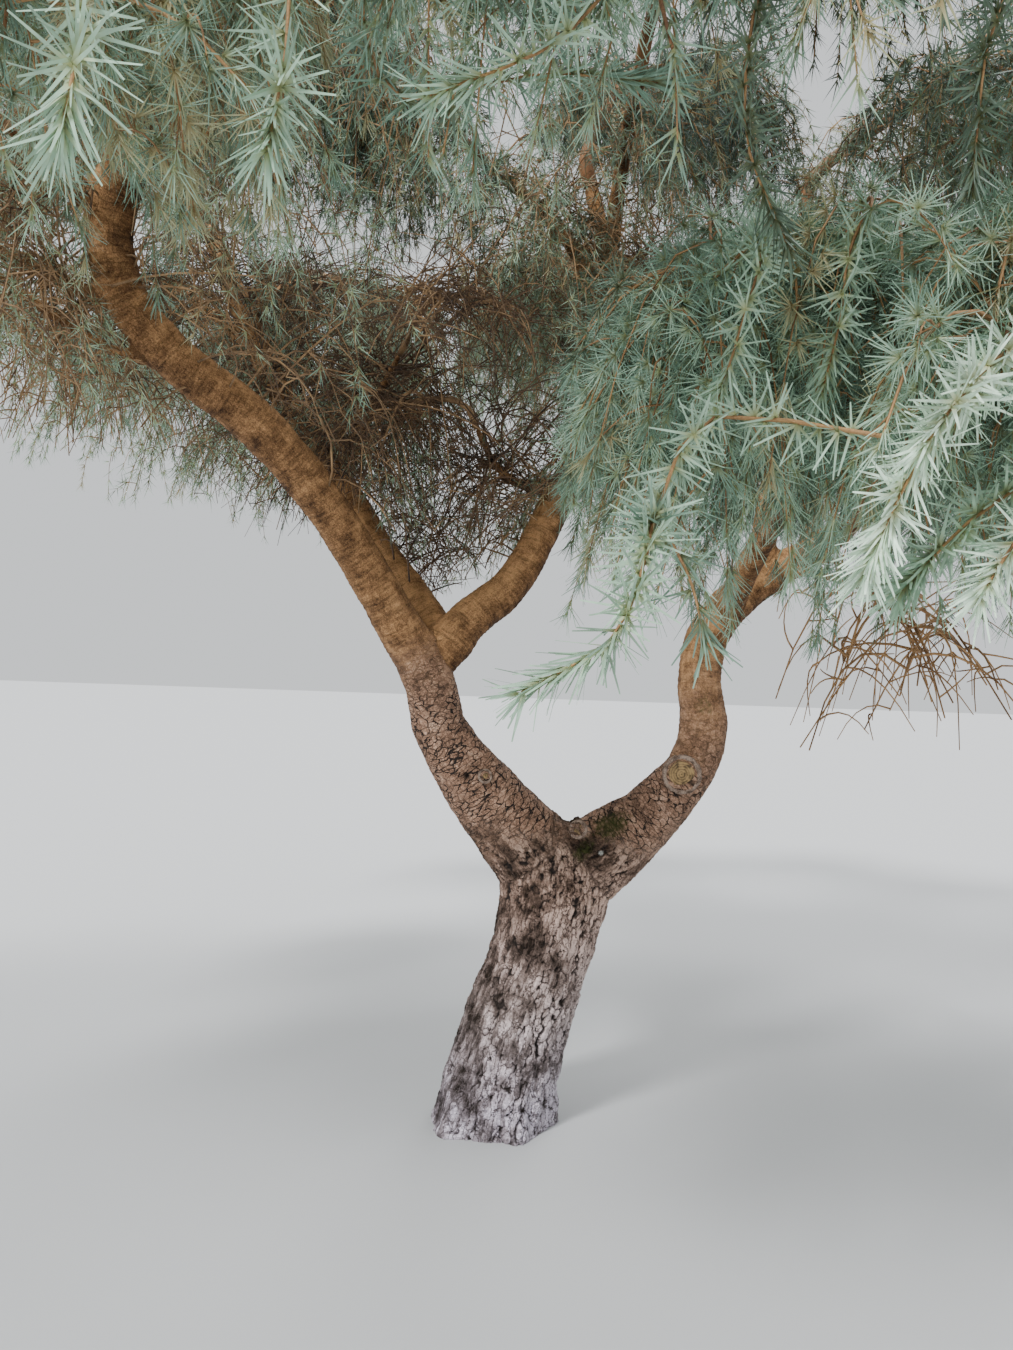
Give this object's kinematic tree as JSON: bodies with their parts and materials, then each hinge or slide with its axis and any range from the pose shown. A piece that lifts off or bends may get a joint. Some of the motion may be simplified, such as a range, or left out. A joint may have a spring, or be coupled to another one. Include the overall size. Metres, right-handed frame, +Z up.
{
  "type": "cedar tree",
  "caption": "Weeping blue cedar with a leaning flared trunk forked into boughs, under a broad umbrella crown of drooping needle sprays.",
  "frame": {"origin": "middle of the trunk's flat cut at ground level", "axes": "+Z up, +X to the right and +Y away from the viewer in the picture"},
  "size_m": [5.7022, 5.0065, 3.7369],
  "materials": {
    "bark": "rough fissured bark, smoother and orange-brown on the upper boughs",
    "twigs": "matt orange-brown",
    "needles": "matt glaucous blue-green"
  },
  "bodies": {
    "root": {"back_foliage": "needles", "back_left_bough": "bark", "back_left_foliage": "needles", "back_left_limb": "bark", "back_left_top_foliage": "needles", "back_limb": "bark", "back_right_foliage": "needles", "back_right_limb": "bark", "back_side_foliage": "needles", "back_side_limb": "bark", "centre_top_foliage": "needles", "centre_top_limb": "bark", "crown_top_foliage": "needles", "front_left_foliage": "needles", "front_left_limb": "bark", "front_middle_foliage": "needles", "front_middle_limb": "bark", "front_right_foliage": "needles", "front_right_limb": "bark", "front_top_foliage": "needles", "front_top_limb": "bark", "inner_arm": "bark", "inner_bare_twigs": "twigs", "left_bough": "bark", "left_foliage": "needles", "left_limb": "bark", "left_top_foliage": "needles", "low_left_foliage": "needles", "low_left_limb": "bark", "low_right_arm": "bark", "low_right_bare_twigs": "twigs", "middle_arm": "bark", "middle_bare_twigs": "twigs", "middle_bough": "bark", "outer_left_arm": "bark", "outer_left_bare_twigs": "twigs", "outer_right_foliage": "needles", "outer_right_limb": "bark", "right_bough": "bark", "right_foliage": "needles", "right_top_foliage": "needles", "side_right_foliage": "needles", "side_right_limb": "bark", "top_right_limb": "bark", "trunk": "bark"}
  },
  "joints": []
}
